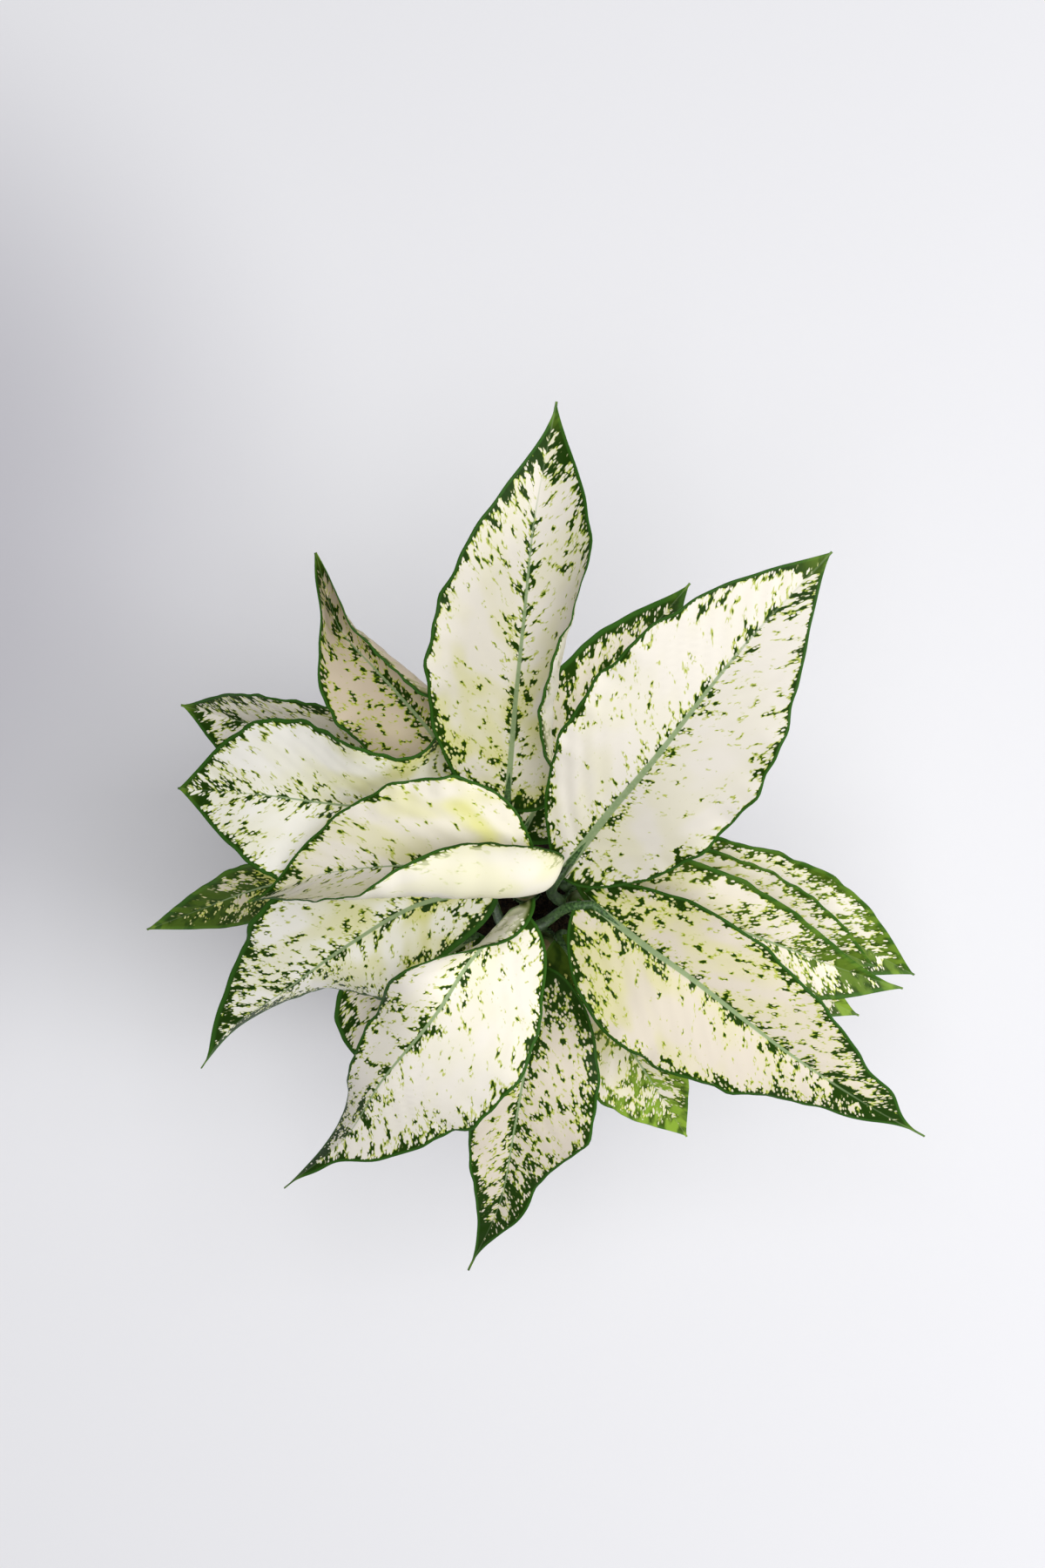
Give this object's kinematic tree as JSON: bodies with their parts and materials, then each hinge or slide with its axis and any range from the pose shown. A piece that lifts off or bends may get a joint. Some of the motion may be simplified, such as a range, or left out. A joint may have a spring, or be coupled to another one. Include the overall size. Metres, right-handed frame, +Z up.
{
  "type": "potted chinese evergreen",
  "caption": "Leafy house plant with broad, pointed, white and green variegated leaves on long petioles, standing in a plain round tapered pot of soil.",
  "frame": {"origin": "centre of the pot's flat underside, on the surface that it stands on", "axes": "+Z up, towards the camera of the picture; +Y towards the picture's top and +X towards its right"},
  "size_m": [0.3836, 0.4103, 0.386],
  "materials": {
    "pot": "matt off-white",
    "soil": "moist dark potting mix of peat and bark",
    "stem": "smooth green cane with leaf scars",
    "leaf": "satin living leaf, cream white with dark green speckles, margin and pale midrib"
  },
  "bodies": {
    "root": {"pot": "pot", "soil": "soil", "stem_northwest": "stem", "stem_east": "stem", "stem_south": "stem", "leaf_north": "leaf", "leaf_northeast": "leaf", "leaf_north_inner": "leaf", "leaf_northwest": "leaf", "leaf_west_upper": "leaf", "leaf_west": "leaf", "leaf_center_west": "leaf", "leaf_southwest": "leaf", "leaf_south_southwest": "leaf", "leaf_south": "leaf", "leaf_southeast": "leaf", "leaf_southeast_low": "leaf", "leaf_east_front": "leaf", "leaf_east_middle": "leaf", "leaf_east_rear": "leaf", "leaf_east_low": "leaf", "leaf_west_low": "leaf", "leaf_southwest_low": "leaf"}
  },
  "joints": []
}
